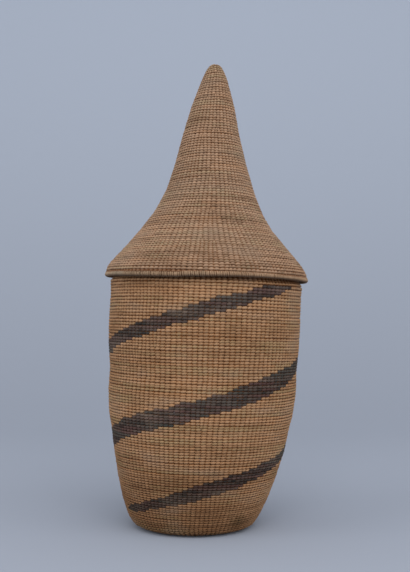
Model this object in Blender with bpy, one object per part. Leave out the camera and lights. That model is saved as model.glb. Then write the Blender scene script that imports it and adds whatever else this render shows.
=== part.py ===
"""Tall twined basket with a pointed lid, as separate solids.

The basket has a flat base, a bellied wall with two dark spiral stripes, and a rolled mouth rim.
The lid is a flared cone on a thick rolled rim, which sits on a shoulder just under the mouth rim.
Metres, +Z up, front towards -Y. The origin is the middle of the base's underside, and the lid lifts
straight off along the axis of its seat.
"""

import math

import bmesh
import bpy
import numpy as np
from mathutils import Matrix, Vector

MM = 0.001

# Build values
FACETS = 48
GAP = 0.3 * MM
SMOOTH_ANGLE = math.radians(40)

# The woven sheet that the base, wall and lid are made of
SHEET = 2.1 * MM

# Basket wall: (height, outer radius) in mm, from the base's edge to the shoulder under the lid
WALL_OUTLINE = (
    (3.2, 36.0), (8.0, 38.6), (17.0, 42.3), (29.0, 46.0), (46.0, 50.1), (57.0, 51.8), (65.0, 53.6),
    (78.0, 54.8), (91.0, 54.6), (104.0, 55.8), (118.0, 56.2), (134.0, 55.9), (141.0, 56.4),
)
# The shoulder and neck that the lid's rim drops over, in the same form
NECK_OUTLINE = ((141.9, 55.4), (142.5, 54.6), (144.45, 53.95))
NECK_INNER_RADIUS = 51.85 * MM

# Base: (radius, height) in mm, once round the section of its woven ring, which rounds up at its edge
BASE_SECTION = (
    (8.3, 0.0), (26.0, 0.0), (30.0, 0.5), (33.3, 1.5), (35.6, 2.9), (33.8, 3.7), (31.0, 2.8), (27.0, 2.2),
    (8.3, 2.2),
)
# Crossed start of the base's sticks, a low round boss with eased edges
START_SECTION = ((7.2, 0.0), (8.0, 0.5), (8.0, 1.7), (7.2, 2.2))

# Lid: (height, outer radius) in mm, from its rim to the gathered tip
LID_OUTLINE = (
    (146.4, 59.0), (149.0, 58.2), (151.5, 56.5), (155.0, 53.6), (162.7, 46.8), (172.1, 38.9), (181.6, 32.5),
    (189.0, 28.9), (195.8, 26.0), (210.0, 21.6), (228.9, 16.9), (244.3, 13.3), (256.0, 9.7), (262.3, 7.6),
)
TIP_OUTLINE = ((262.6, 7.6), (265.0, 6.5), (267.5, 5.4), (269.6, 4.3), (271.0, 2.9), (271.5, 1.2))

# How the hand-made rings wander: (height, shift to +X), (height, tilt down to +X), (height, tilt down
# to the front); heights and shifts in mm, tilts in radians
BASKET_LEAN = (
    (0.0, 0.0), (6.0, -0.2), (15.0, 0.4), (28.0, 1.4), (46.0, 2.8), (61.0, 3.4), (78.0, 4.6), (87.0, 5.2),
    (111.0, 5.8), (124.0, 6.3), (144.0, 7.2), (150.0, 7.2),
)
BASKET_TILT = ((0.0, 0.0), (20.0, 0.018), (46.0, 0.034), (100.0, 0.037), (144.0, 0.038), (150.0, 0.038))
BASKET_NOD = ((0.0, 0.0), (100.0, 0.0), (140.0, 0.016), (150.0, 0.016))
LID_LEAN = (
    (140.0, 7.2), (148.0, 7.2), (160.0, 7.3), (172.0, 7.3), (186.0, 8.6), (198.0, 9.4),
    (229.0, 9.9), (246.0, 11.1), (262.0, 12.1), (271.0, 12.4),
)
LID_TILT = ((140.0, 0.038), (147.0, 0.038), (156.0, 0.026), (168.0, 0.018), (271.0, 0.014))
LID_NOD = ((140.0, 0.016), (147.0, 0.016), (175.0, 0.0), (271.0, 0.0))

# Dark stripes: two alike, half a turn apart. (turn in degrees from the start, height of the middle in mm)
STRIPE_RISE = (
    (0, 13.0), (17, 14.9), (34, 18.1), (61, 24.0), (130, 40.7), (180, 53.6), (245, 71.2), (304, 89.0),
    (365, 106.2), (479, 140.3), (506, 148.4),
)
# (turn in degrees from the start, height of the band in mm)
STRIPE_WIDTH = (
    (0, 1.8), (15, 4.7), (42, 5.1), (62, 7.7), (130, 7.4), (180, 10.6), (250, 10.5), (304, 10.2), (365, 7.9),
    (430, 8.3), (462, 7.2), (506, 7.2),
)
STRIPE_STARTS = {"dark_stripe_front": -67.5, "dark_stripe_back": 112.5}
STRIPE_DEPTH = 0.8 * MM
STRIPE_TOP = 140.4 * MM
STRIPE_STEP = 360 / FACETS
STRIPE_LAST_TURN = 487.5

# Rolled rims: a core of turned-over stick ends inside a stitched binding that is open to the sheet's edge
COIL = {"outer": 1.9 * MM, "inner": 1.35 * MM, "core": 1.05 * MM}
MOUTH_RIM = {"radius": 52.9 * MM, "height": 145.95 * MM, **COIL}
LID_RIM = {"radius": 58.1 * MM, "height": 144.3 * MM, **COIL}
RIM_SLOT_HALF_ANGLE = 45
RIM_OUTER_STEPS = 8
RIM_INNER_STEPS = 5
CORE_SIDES = 6

SEAT_HEIGHT = LID_RIM["height"]

# Colours as seen in daylight (red, green, blue of 255), with roughness
COLOURS = {
    "natural_weave": ((136, 106, 78), 0.82),
    "dyed_weave": ((70, 57, 50), 0.78),
    "lid_weave": ((139, 112, 90), 0.82),
    "rim_binding": ((112, 90, 72), 0.80),
    "stick_ends": ((104, 80, 56), 0.85),
}


def curve(stations, scale=MM, key_scale=MM):
    """Straight-line function through (key, value) stations, with both put into metres."""
    keys = [key * key_scale for key, value in stations]
    values = [value * scale for key, value in stations]
    return lambda key: float(np.interp(key, keys, values))


def ring_frame(lean, tilt, nod):
    """Place of a woven ring at a height: shifted by the lean, then tilted to the side and the front."""
    shift = curve(lean)
    side = curve(tilt, scale=1.0)
    front = curve(nod, scale=1.0)

    def frame(height):
        place = Matrix.Translation((shift(height), 0.0, height))
        turn = Matrix.Rotation(side(height), 4, "Y") @ Matrix.Rotation(front(height), 4, "X")
        return place @ turn

    return frame


basket_frame = ring_frame(BASKET_LEAN, BASKET_TILT, BASKET_NOD)
lid_frame = ring_frame(LID_LEAN, LID_TILT, LID_NOD)
wall_radius = curve(WALL_OUTLINE)
stripe_height = curve(STRIPE_RISE, key_scale=1.0)
stripe_width = curve(STRIPE_WIDTH, key_scale=1.0)


def linear(level):
    """One colour channel of 255, as the linear value that a shader takes."""
    level = level / 255
    if level <= 0.04045:
        return level / 12.92
    return ((level + 0.055) / 1.055) ** 2.4


def make_material(name):
    """Plain fibre material of one colour."""
    colour, roughness = COLOURS[name]
    material = bpy.data.materials.new(name)
    material.use_nodes = True
    shader = material.node_tree.nodes["Principled BSDF"]
    shader.inputs["Base Color"].default_value = (*[linear(level) for level in colour], 1.0)
    shader.inputs["Roughness"].default_value = roughness
    shader.inputs["Metallic"].default_value = 0.0
    return material


def add_object(name, bm, finish, parent=None):
    """Turn the mesh outwards and add it as an object, round faces smooth, placed from its parent."""
    bmesh.ops.recalc_face_normals(bm, faces=bm.faces)
    if parent:
        bmesh.ops.translate(bm, verts=bm.verts, vec=-parent.location)
    mesh = bpy.data.meshes.new(name)
    bm.to_mesh(mesh)
    bm.free()
    mesh.shade_smooth()
    mesh.set_sharp_from_angle(angle=SMOOTH_ANGLE)
    mesh.materials.append(make_material(finish))
    piece = bpy.data.objects.new(name, mesh)
    piece.parent = parent
    bpy.context.scene.collection.objects.link(piece)
    return piece


def skin(bm, rims, capped):
    """Join like rows of points with four-sided faces: capped ends, or closed on itself."""
    following = rims[1:] if capped else rims[1:] + rims[:1]
    for lower, upper in zip(rims, following):
        for i in range(len(lower)):
            bm.faces.new((lower[i - 1], lower[i], upper[i], upper[i - 1]))
    if capped:
        bm.faces.new(rims[0])
        bm.faces.new(rims[-1])
    return bm


def turned(section, frame, capped=False):
    """Skin over a circle at each (radius, height) of a section."""
    bm = bmesh.new()
    rims = []
    for radius, height in section:
        circle = bmesh.ops.create_circle(bm, segments=FACETS, radius=radius, matrix=frame(height))
        rims.append(circle["verts"])
    return skin(bm, rims, capped)


def swept(sections):
    """Skin over like loops of points, one after the other."""
    bm = bmesh.new()
    rims = [[bm.verts.new(point) for point in points] for points in sections]
    return skin(bm, rims, capped=True)


def sheet_section(outline):
    """Closed (radius, height) section of a sheet: up its outer face, and down its inner one."""
    heights = np.array([height for height, radius in outline])
    radii = np.array([radius for height, radius in outline])
    slopes = np.gradient(radii, heights)
    lengths = np.hypot(1.0, slopes)
    inner_radii = radii - SHEET / MM / lengths
    inner_heights = heights + SHEET / MM * slopes / lengths
    up = [(radius * MM, height * MM) for radius, height in zip(radii, heights)]
    down = [(radius * MM, height * MM) for radius, height in zip(inner_radii, inner_heights)]
    return up, down[::-1]


def on_wall(angle, height, outwards):
    """Point at an angle from the front and a height on the wall, moved outwards from its outer face."""
    radius = wall_radius(height) + outwards
    turn = math.radians(angle)
    return basket_frame(height) @ Vector((radius * math.sin(turn), -radius * math.cos(turn), 0.0))


def stripe_sections(start, outside, inside, spare):
    """Sections of a band that climbs round the wall, between two depths, widened by a spare edge."""
    steps = int(STRIPE_LAST_TURN / STRIPE_STEP)
    spare_turn = math.degrees(spare / wall_radius(0.0))
    for step in range(steps + 1):
        turn = step * STRIPE_STEP
        middle = stripe_height(turn)
        half = stripe_width(turn) / 2
        low = middle - half - spare
        high = min(middle + half, STRIPE_TOP) + spare
        if step == 0:
            turn -= spare_turn
        if step == steps:
            turn += spare_turn
        mid = (low + high) / 2
        angle = start + turn
        outer = [on_wall(angle, height, outside) for height in (low, mid, high)]
        inner = [on_wall(angle, height, inside) for height in (high, mid, low)]
        yield outer + inner


def rolled_section(rim, facing):
    """C-shaped section of a binding whose slot faces up (90) or down (-90) to the sheet's edge."""
    first = facing + RIM_SLOT_HALF_ANGLE
    last = facing + 360 - RIM_SLOT_HALF_ANGLE
    outer = [(rim["outer"], angle) for angle in np.linspace(first, last, RIM_OUTER_STEPS)]
    inner = [(rim["inner"], angle) for angle in np.linspace(last, first, RIM_INNER_STEPS)]
    return [around(rim, size, angle) for size, angle in outer + inner]


def around(rim, size, angle):
    """(radius, height) of a point round the middle of a rim's section."""
    turn = math.radians(angle)
    return rim["radius"] + size * math.cos(turn), rim["height"] + size * math.sin(turn)


def add_base():
    """Crossed start of the sticks, and the woven disc round it that turns up at its edge."""
    start = [(radius * MM, height * MM) for radius, height in START_SECTION]
    add_object("base_start", turned(start, basket_frame, capped=True), "stick_ends")
    disc = [(radius * MM, height * MM) for radius, height in BASE_SECTION]
    add_object("base_weave", turned(disc, basket_frame), "natural_weave")


def add_wall():
    """Woven wall with its shoulder and neck, and a groove for each dark stripe."""
    up, down = sheet_section(WALL_OUTLINE)
    neck = [(radius * MM, height * MM) for height, radius in NECK_OUTLINE]
    lip = (NECK_INNER_RADIUS, neck[-1][1])
    wall = add_object("wall_weave", turned(up + neck + [lip] + down, basket_frame), "natural_weave")
    for name, start in STRIPE_STARTS.items():
        band = swept(stripe_sections(start, 0.0, -STRIPE_DEPTH, 0.0))
        add_object(name, band, "dyed_weave")
        groove = swept(stripe_sections(start, STRIPE_DEPTH, -STRIPE_DEPTH - GAP, GAP))
        cutter = add_object(name + "_groove", groove, "dyed_weave")
        cutter.hide_render = True
        cutter.display_type = "WIRE"
        cut = wall.modifiers.new(name + "_cut", "BOOLEAN")
        cut.operation = "DIFFERENCE"
        cut.solver = "EXACT"
        cut.object = cutter


def add_rim(prefix, rim, frame, facing, parent=None):
    """Core ring of stick ends, and the stitched binding rolled round it."""
    core_angles = np.arange(CORE_SIDES) * 360 / CORE_SIDES
    core = [around(rim, rim["core"], angle) for angle in core_angles]
    add_object(prefix + "_core", turned(core, frame), "stick_ends", parent)
    add_object(prefix + "_binding", turned(rolled_section(rim, facing), frame), "rim_binding", parent)


def add_lid(seat):
    """Flared, pointed woven cone, with the gathered start that closes its tip."""
    up, down = sheet_section(LID_OUTLINE)
    add_object("lid_weave", turned(up + down, lid_frame), "lid_weave", seat)
    tip = [(radius * MM, height * MM) for height, radius in TIP_OUTLINE]
    add_object("lid_tip_start", turned(tip, lid_frame, capped=True), "lid_weave", seat)


def add_seat():
    """Empty at the middle of the lid's seat, which carries the lid and whose Z is the lift's axis."""
    seat = bpy.data.objects.new("lid_seat", None)
    seat.location = lid_frame(SEAT_HEIGHT).translation
    bpy.context.scene.collection.objects.link(seat)
    return seat


def main():
    """Clear the scene, then build the basket and its lid."""
    for old in list(bpy.data.objects):
        bpy.data.objects.remove(old)
    add_base()
    add_wall()
    add_rim("mouth_rim", MOUTH_RIM, basket_frame, facing=-90)
    seat = add_seat()
    add_rim("lid_rim", LID_RIM, lid_frame, facing=90, parent=seat)
    add_lid(seat)


main()
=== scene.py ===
"""Agaseke basket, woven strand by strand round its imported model.

Every row of the base, wall and lid is a pair of weft strands that twist round upright warp sticks in one
unbroken spiral, and both rims are a core overcast with one long strand. Metres, +Z up, front towards -Y.
"""

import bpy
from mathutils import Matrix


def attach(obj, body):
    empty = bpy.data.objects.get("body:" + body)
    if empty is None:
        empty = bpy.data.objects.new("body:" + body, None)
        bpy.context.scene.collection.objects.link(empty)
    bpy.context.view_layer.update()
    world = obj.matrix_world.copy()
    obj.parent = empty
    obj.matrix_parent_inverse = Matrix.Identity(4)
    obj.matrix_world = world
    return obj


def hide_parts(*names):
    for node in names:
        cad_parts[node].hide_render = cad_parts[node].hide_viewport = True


bl_info = {
    "name": "Agaseke basket",
    "version": (1, 0, 0),
    "blender": (4, 5, 0),
    "location": "3D View > Sidebar > Basket",
    "description": "Weaves a lidded, twined basket strand by strand round its packed model",
    "category": "Add Mesh",
}

import math

import bpy
import numpy as np
from bpy.props import FloatProperty, FloatVectorProperty, PointerProperty
from bpy.types import Operator, Panel, PropertyGroup
from mathutils import Vector

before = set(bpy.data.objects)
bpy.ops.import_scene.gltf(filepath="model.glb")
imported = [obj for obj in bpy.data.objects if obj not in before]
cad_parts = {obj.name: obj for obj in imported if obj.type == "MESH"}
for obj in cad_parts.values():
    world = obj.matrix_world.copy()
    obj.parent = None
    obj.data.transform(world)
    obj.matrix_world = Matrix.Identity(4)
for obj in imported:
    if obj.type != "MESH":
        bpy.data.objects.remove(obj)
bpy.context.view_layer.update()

MM = 0.001
TURN = 2 * math.pi
SEED = 7

# Outer outlines, (radius, height) in mm: the basket from the middle of its underside to inside its mouth
# rim's coil, and the lid from inside its rim's coil to its tip
BASKET_OUTLINE = (
    (8.3, 0.0), (26.0, 0.0), (30.0, 0.5), (33.3, 1.5), (35.6, 2.9), (38.6, 8.0), (42.3, 17.0), (46.0, 29.0),
    (50.1, 46.0), (51.8, 57.0), (53.6, 65.0), (54.8, 78.0), (54.6, 91.0), (55.8, 104.0), (56.2, 118.0),
    (55.9, 134.0), (56.4, 141.0), (55.4, 141.9), (54.6, 142.5), (53.95, 144.6), (53.9, 146.6),
)
LID_OUTLINE = (
    (59.3, 143.9), (59.3, 145.2), (59.0, 146.4), (58.2, 149.0), (56.5, 151.5), (53.6, 155.0), (46.8, 162.7),
    (38.9, 172.1), (32.5, 181.6), (28.9, 189.0), (26.0, 195.8), (21.6, 210.0), (16.9, 228.9), (13.3, 244.3),
    (9.7, 256.0), (7.6, 262.3), (6.5, 265.0), (5.4, 267.5), (4.3, 269.6), (2.9, 271.0), (1.8, 271.5),
)
# How the hand-made rings wander with height: shift to +X in mm, tilt down to +X and nod down to the
# front in radians
BASKET_LEAN = (
    (0.0, 0.0), (6.0, -0.2), (15.0, 0.4), (28.0, 1.4), (46.0, 2.8), (61.0, 3.4), (78.0, 4.6), (87.0, 5.2),
    (111.0, 5.8), (124.0, 6.3), (144.0, 7.2), (150.0, 7.2),
)
BASKET_TILT = ((0.0, 0.0), (20.0, 0.018), (46.0, 0.034), (100.0, 0.037), (144.0, 0.038), (150.0, 0.038))
BASKET_NOD = (
    (0.0, 0.0), (10.0, 0.008), (20.0, 0.0), (32.0, -0.018), (46.0, -0.024), (62.0, -0.01), (80.0, 0.0),
    (131.0, 0.0), (144.0, 0.016), (150.0, 0.016),
)
LID_LEAN = (
    (140.0, 7.2), (148.0, 7.2), (160.0, 7.3), (172.0, 7.3), (186.0, 8.6), (198.0, 9.4),
    (229.0, 9.9), (246.0, 11.1), (262.0, 12.1), (271.0, 12.4),
)
LID_TILT = ((140.0, 0.038), (147.0, 0.038), (156.0, 0.026), (168.0, 0.018), (271.0, 0.014))
LID_NOD = ((140.0, 0.016), (147.0, 0.016), (175.0, 0.0), (271.0, 0.0))

# Warp sticks in a row, by the row's radius in mm
BASKET_WARPS = (
    (8.3, 24), (14.0, 42), (22.0, 62), (30.0, 82), (34.5, 96), (38.5, 104), (43.8, 110), (47.8, 113),
    (50.7, 116), (53.6, 118), (55.0, 120), (56.0, 127),
)
LID_WARPS = (
    (1.5, 8), (5.0, 21), (9.8, 35), (12.7, 40), (19.4, 58), (22.4, 65), (32.0, 82), (40.0, 99), (50.0, 121),
    (57.0, 138),
)
# Height of a row along the sheet in mm, by its height above the floor in mm
BASKET_PITCH = (
    (0.0, 1.68), (6.0, 1.62), (14.0, 1.36), (24.0, 1.34), (34.0, 1.4), (46.0, 1.52), (60.0, 1.61),
    (72.0, 1.6), (84.0, 1.55), (100.0, 1.6), (114.0, 1.63), (127.0, 1.77), (145.0, 1.77),
)
LID_PITCH = (
    (145.0, 1.64), (158.0, 1.64), (166.0, 1.68), (176.0, 1.76), (186.0, 1.74), (196.0, 1.61), (228.0, 1.61),
    (240.0, 1.66), (271.5, 1.66),
)
# Painted shade in the seams beside the rims, under the lid's coil and above it: its strength, by height in mm
BASKET_SEAM_SHADE = ((140.4, 0.0), (142.2, 1.0))
LID_SEAM_SHADE = ((145.5, 1.0), (146.4, 0.0))

# Dark spiral stripes: height of the middle and of the band in mm, by the turn in degrees from the start
STRIPE_RISE = (
    (0, 13.0), (17, 14.9), (34, 18.1), (61, 24.0), (130, 40.7), (180, 53.6), (245, 71.2), (304, 89.0),
    (365, 106.2), (479, 140.3), (506, 148.4),
)
STRIPE_WIDTH = (
    (0, 1.8), (15, 4.7), (42, 5.1), (62, 7.7), (130, 7.4), (180, 10.6), (250, 10.5), (304, 10.2), (365, 7.9),
    (430, 8.3), (462, 7.2), (506, 7.2),
)
STRIPE_STARTS = {"dark_stripe_front": -67.5, "dark_stripe_back": 112.5}
STRIPE_LAST_TURN = 487.5
STRIPE_TOP = 140.4 * MM
# How far, in degrees, the ends of each row's dyed stretch are moved at random, and one strand's from the
# mean
STRIPE_RAGGED = 1.0
STRIPE_FADE = 1.1

# Rolled rims: radius and height of the ring, radii of the coil and of its core, number of wraps, and the
# coil's course round the ring, as (degrees from the front, share by which it is thinner, lift in mm). The
# lid's coil has a step just left of the front.
MOUTH_RIM = {
    "radius": 52.9 * MM, "height": 145.95 * MM, "coil": 1.9 * MM, "core": 1.3 * MM, "wraps": 294,
    "course": ((-180, 0.0, 0.0), (180, 0.0, 0.0)),
}
LID_RIM = {
    "radius": 58.15 * MM, "height": 144.35 * MM, "coil": 1.85 * MM, "core": 1.25 * MM, "wraps": 324,
    "course": (
        (-180, 0.13, -0.1), (-60, 0.2, -0.55), (-45, 0.18, -0.8), (-31, 0.14, -0.88), (-14.5, 0.13, -0.85),
        (-12, 0.06, -0.4), (0, 0.1, -0.05), (16, 0.17, 0.43), (32, 0.22, 0.55), (46, 0.28, 0.4),
        (60, 0.3, 0.24), (90, 0.24, 0.1), (180, 0.13, -0.1),
    ),
}

# Crossed sticks in the middle of the base: sticks in a layer, how far they reach, their spacing and width
# where they are bundled, the share of that width that they gain towards their split ends, the heights of the
# two layers and of the warps that they run into, and the points along a stick
START_STICKS = 6
START_REACH = 8.6 * MM
START_SPACING = 0.95 * MM
START_WIDTH = 0.9 * MM
START_SPREAD = 1.2
START_HEIGHTS = (0.55 * MM, 1.5 * MM)
START_MIDDLE = 1.05 * MM
STICK_POINTS = 17

# Warps bent over the top of the lid: their height, how far they reach and fall, by which power of the way
# out, how far one lies above the last, how wide they are, and how near to the middle an arc comes. The tip
# begins at a height of its own.
TIP_STICKS = 7
TIP_TOP = 271.2 * MM
TIP_REACH = 3.4 * MM
TIP_FALL = 1.5 * MM
TIP_FALL_POWER = 2.6
TIP_LAYER = 0.09 * MM
TIP_WIDTH = 1.1 * MM
TIP_CLEAR = 0.05 * MM
TIP_START_HEIGHT = 262.4 * MM

# Where the base's own rows end
BASE_TOP = 3.0 * MM

# Paper sweep behind and under the basket, and where, by depth plus height, it turns paler with painted light
SWEEP_FRONT = -1.6
SWEEP_BACK = 0.45
SWEEP_BEND = 1.3
SWEEP_TOP = 2.6
SWEEP_HALF = 2.2
SWEEP_PALER = (0.4, 3.0)

# Soft lights: place, side and which power they have, and the point that they face
LIGHTS = {
    "key_light": ((0.15, -1.6, 1.3), 1.6, "key_power"),
    "left_light": ((-1.1, -0.6, 0.55), 0.8, "side_power"),
    "right_light": ((1.1, -0.7, 0.6), 0.8, "side_power"),
}
LIGHT_AIM = (0.007, 0.0, 0.13)
SKY_COLOUR = (0.98, 0.99, 1.0, 1.0)

# Old damp mark on the wall near the floor: its middle, how much wider than high it is, radius and strength
STAIN_PLACE = (25.5 * MM, -28.5 * MM, 7.5 * MM)
STAIN_FLATTENED = (1.0, 1.0, 1.7)
STAIN_RADIUS = 11 * MM
STAIN_STRENGTH = 0.85
# Grime and painted shade near the floor: its height, how far its edge wanders, and where to +X it thins
DARKENING_TOP = 60 * MM
DARKENING_RAGGED = 20 * MM
DARKENING_THINS = (10 * MM, 40 * MM)
# Worn patches, as waves to a metre: soft ones, drawn out along the rows, and the fine ones at their edges
PATCH_SCALE = 26.0
PATCH_FLATTENED = (1.0, 1.0, 2.6)
FINE_SCALE = 160.0
# Fibre: streaks round a strand and along it, slower drifts along it, and warm patches, as waves to a metre
STREAKS_AROUND = 2.4
STREAKS_ALONG = 320.0
DRIFT_ALONG = 60.0
WARM_PATCHES = 55.0
# How far from deep to pale a fibre is, from its tone, and how far streaks, drifts and patches move it
TONE_BASE = 0.2
TONE_SIZE = 0.7
STREAK_SIZE = 1.0
DRIFT_SIZE = 0.8
WARM_SIZE = 1.1
# Depth of the streaks in a fibre's face, the share of it that shows, and the fibre's and the paper's sheen
STREAK_DEPTH = 0.2 * MM
STREAK_RELIEF = 0.35
FIBRE_SHEEN = 0.25
PAPER_SHEEN = 0.1
PAPER_ROUGHNESS = 0.95

# Share of a weft's climb that it makes evenly, and not just where it crosses the other
SLOPE_OVER_WARP = 0.28
# Space from warp to warp under which the wefts swing out less, and the least that they do
FULL_SPACING = 2.0 * MM
LEAST_SWING = 0.62
# Where a stitch turns in and out: the power of the sine of its swing, under 1 for a long flat stitch, and
# how far out both strands lie where they cross
SWING_POWER = 0.85
CROSSING_LIFT = 0.12 * MM
# Bulges and hollows of the sheets: their size, the waves round a ring, the climb in which a wave turns on by
# a radian, and how far from the foot they reach their size
SWELL = 0.22 * MM
SWELL_WAVES = (3, 5, 8)
SWELL_CLIMB = 14 * MM
SWELL_FADE = 8 * MM
# The same for the rows as they wander up and down, which starts and ends at nothing
WANDER = 0.22 * MM
WANDER_WAVES = (2, 3, 7)
WANDER_CLIMB = 9 * MM
WANDER_FADE = 6 * MM
# Beating the rows down: times in a turn, and how far one row lies off its even place
BEATS_PER_TURN = 7
BEAT_SIZE = 0.085 * MM
# Warps: the least weight of a space where the widest is chosen, the share of the way that one moves to the
# middle of its neighbours from row to row, and how far it stands off its place, as a share of the spacing
LEAST_CHOICE = 0.85
WARP_EVENING = 0.25
WARP_WANDER = 0.11
# How uneven a weft is, as shares of its swing, height and thickness, and in its climb
UNEVEN_SWING = 0.10
UNEVEN_HEIGHT = 0.07
UNEVEN_THICKNESS = 0.05
UNEVEN_CLIMB = 0.045 * MM
# How uneven a rim's wraps are, as shares of the coil's radius and of the space from wrap to wrap
UNEVEN_COIL = 0.02
UNEVEN_WRAPS = 0.10
# Wefts lie no lower than this
FLOOR_GAP = 0.02 * MM
# Least that a strand's thickness can be set to
LEAST_THICKNESS = 0.1 * MM

# Lengths of fibre in stitches or wraps, shortest and longest, for tone and for warmth: along a row, along
# one strand of it, and along a rim
ROW_FIBRES = ((8, 60), (10, 50))
STRAND_FIBRES = ((14, 70), (20, 120))
RIM_FIBRES = ((8, 40), (10, 60))
# Shares of the row, of the strand and of the stitch itself in a stitch's tone and in its warmth
TONE_SHARES = (0.45, 0.25, 0.3)
WARMTH_SHARES = (0.7, 0.15, 0.15)
# Depth mark of a rim's wraps, by the height round the coil from -1 to 1: their underside is painted in shade
RIM_HEIGHTS = (-0.9, 0.3)
RIM_DEPTHS = (-0.45, 0.9)

# Phases from one crossing of the wefts to the next at which a weft has a ring
STITCH_PHASES = (0.0, 0.25, 0.5, 0.75)
STEPS_PER_WARP = len(STITCH_PHASES)
# Sides and steps of the tubes, a square's diagonal over its side, and the most triangles in a band of wefts
WEFT_SIDES = 5
WARP_SIDES = 4
CORNER = math.sqrt(2)
WRAP_STEPS = 12
CORE_STEPS = 120
CORE_SIDES = 8
STICK_SIDES = 6
PIECE_TRIANGLES = 185000
# Keeps a place that stands exactly on a whole turn in its own row
HAIR = 1e-6

# The photograph's height, the camera's focal length and the row of the horizon in pixels, and the sensor's
# size in mm
PHOTO_HIGH = 572
FOCAL_PIXELS = 900.0
HORIZON_ROW = 325.5
SENSOR = 36.0


def table(stations, scale=1.0, key_scale=MM):
    """Keys and values of (key, value) stations as two arrays, ready for straight-line reading."""
    stations = np.array(stations, float)
    return stations[:, 0] * key_scale, stations[:, 1] * scale


def unit(vectors):
    """The vectors at length 1."""
    return vectors / np.linalg.norm(vectors, axis=-1, keepdims=True)


def lengths_along(points):
    """Length of a line from its start to each of its points."""
    steps = np.linalg.norm(np.diff(points, axis=0), axis=1)
    return np.concatenate(([0.0], np.cumsum(steps)))


def evenly_spaced(points, step):
    """Points set a step apart along a line through the given ones."""
    lengths = lengths_along(points)
    wanted = np.linspace(0.0, lengths[-1], int(lengths[-1] / step) + 1)
    return np.stack([np.interp(wanted, lengths, column) for column in points.T], axis=1)


def bell_smoothed(points, reach):
    """Each point becomes the mean of its neighbours, weighted by a bell curve, and the ends stay put."""
    offsets = np.arange(-2 * reach, 2 * reach + 1)
    weights = np.exp(-0.5 * (offsets / reach) ** 2)
    weights /= weights.sum()
    head = 2 * points[0] - points[2 * reach:0:-1]
    tail = 2 * points[-1] - points[-2:-2 * reach - 2:-1]
    padded = np.concatenate((head, points, tail))
    return np.stack([np.convolve(column, weights, "valid") for column in padded.T], axis=1)


class Posture:
    """How the rings of a woven form stand: a ring at a height is tilted, nodded and shifted."""

    def __init__(self, lean, tilt, nod):
        self.lean = table(lean, MM)
        self.tilt = table(tilt)
        self.nod = table(nod)

    def place(self, angle, radius, height, rise=0.0):
        """Point at an angle from the front and a radius on the ring at a height, risen off its plane:
        turned about X by the nod, then about Y by the tilt, then moved by the lean and the height."""
        nod = np.interp(height, *self.nod)
        tilt = np.interp(height, *self.tilt)
        across = radius * np.sin(angle)
        back = -radius * np.cos(angle)
        deep = back * np.cos(nod) - rise * np.sin(nod)
        high = back * np.sin(nod) + rise * np.cos(nod)
        side = np.interp(height, *self.lean) + across * np.cos(tilt) + high * np.sin(tilt)
        top = height - across * np.sin(tilt) + high * np.cos(tilt)
        return np.stack(np.broadcast_arrays(side, deep, top), axis=-1)


BASKET_POSTURE = Posture(BASKET_LEAN, BASKET_TILT, BASKET_NOD)
LID_POSTURE = Posture(LID_LEAN, LID_TILT, LID_NOD)


class Sheet:
    """Mid-surface of a woven sheet: its outer outline, smoothed and moved in by half the sheet's
    thickness, turned round the rings of a posture. A place on it is an angle and a run along the outline."""

    SPACING = 0.25 * MM
    REACH = 4
    NUDGE = 0.3 * MM
    TURN_NUDGE = 0.01

    def __init__(self, outline, posture, thickness):
        outer = bell_smoothed(evenly_spaced(np.array(outline) * MM, self.SPACING), self.REACH)
        along = unit(np.gradient(outer, axis=0))
        outwards = np.stack((along[:, 1], -along[:, 0]), axis=1)
        middle = outer - outwards * thickness / 2
        self.run = lengths_along(middle)
        self.radius, self.height = middle.T
        self.posture = posture

    def radius_at(self, run):
        return np.interp(run, self.run, self.radius)

    def height_at(self, run):
        return np.interp(run, self.run, self.height)

    def point(self, angle, run):
        """Point of the mid-surface at an angle and a run."""
        return self.posture.place(angle, self.radius_at(run), self.height_at(run))

    def axes(self, angle, run):
        """Unit vectors around the ring, up the sheet and out of it, from neighbouring points."""
        low = np.maximum(run - self.NUDGE, 0.0)
        high = np.minimum(run + self.NUDGE, self.run[-1])
        up = unit(self.point(angle, high) - self.point(angle, low))
        around = unit(self.point(angle + self.TURN_NUDGE, run) - self.point(angle - self.TURN_NUDGE, run))
        return around, up, unit(np.cross(around, up))


class Spiral:
    """The path of the weft up a sheet: the run at each turn, where a full turn climbs one row. The rows are
    eased a little so that they end with a whole one."""

    MARGIN = 0.35

    def __init__(self, sheet, pitch):
        self.sheet = sheet
        pitches = np.interp(sheet.height, *table(pitch, MM))
        steps = np.diff(sheet.run) / ((pitches[1:] + pitches[:-1]) / 2)
        turns = np.concatenate(([0.0], np.cumsum(steps)))
        self.rows = round(turns[-1] - 2 * self.MARGIN)
        self.turns = turns * (self.rows + 2 * self.MARGIN) / turns[-1] - self.MARGIN

    def run_at(self, turns):
        return np.interp(turns, self.turns, self.sheet.run)

    def pitch_at(self, turns):
        return self.run_at(turns + 0.5) - self.run_at(turns - 0.5)


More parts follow.
